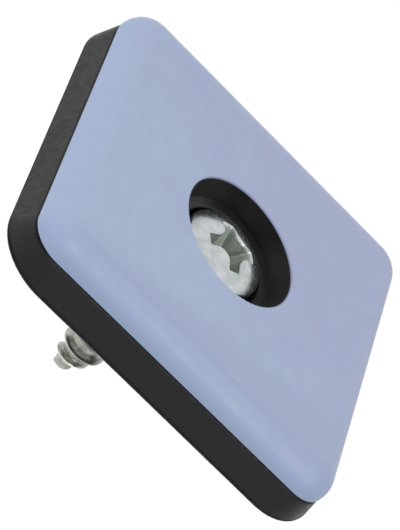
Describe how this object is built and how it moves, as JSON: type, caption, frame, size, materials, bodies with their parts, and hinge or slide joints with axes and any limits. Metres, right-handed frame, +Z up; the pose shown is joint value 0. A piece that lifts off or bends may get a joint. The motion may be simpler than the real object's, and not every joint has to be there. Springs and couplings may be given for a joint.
{
  "type": "furniture slider",
  "caption": "Square screw-on furniture slider: a rounded PTFE sliding plate on a rubber cushion, with a pan-head screw in a recess that fixes it under a chair or table leg.",
  "frame": {"origin": "centre of the sliding face, at the bottom of the part as it stands", "axes": "+Z runs up the screw's axis from the sliding face to the screw's point; X and Y run square to the sides"},
  "size_m": [0.03, 0.03, 0.0191],
  "materials": {
    "ptfe": "smooth, waxy, pale blue-grey PTFE",
    "cushion": "moulded black rubber, fine matt grain",
    "screw": "bright zinc plate over a cold-headed surface"
  },
  "bodies": {
    "glide": {"sliding_plate": "ptfe", "cushion_base": "cushion"},
    "screw": {"pan_head_screw": "screw"}
  },
  "joints": [
    {"name": "screw_turn", "type": "hinge", "parent": "glide", "child": "screw", "pos_m": [0, 0, 0.0031], "axis": [0, 0, 1], "continuous": true}
  ]
}
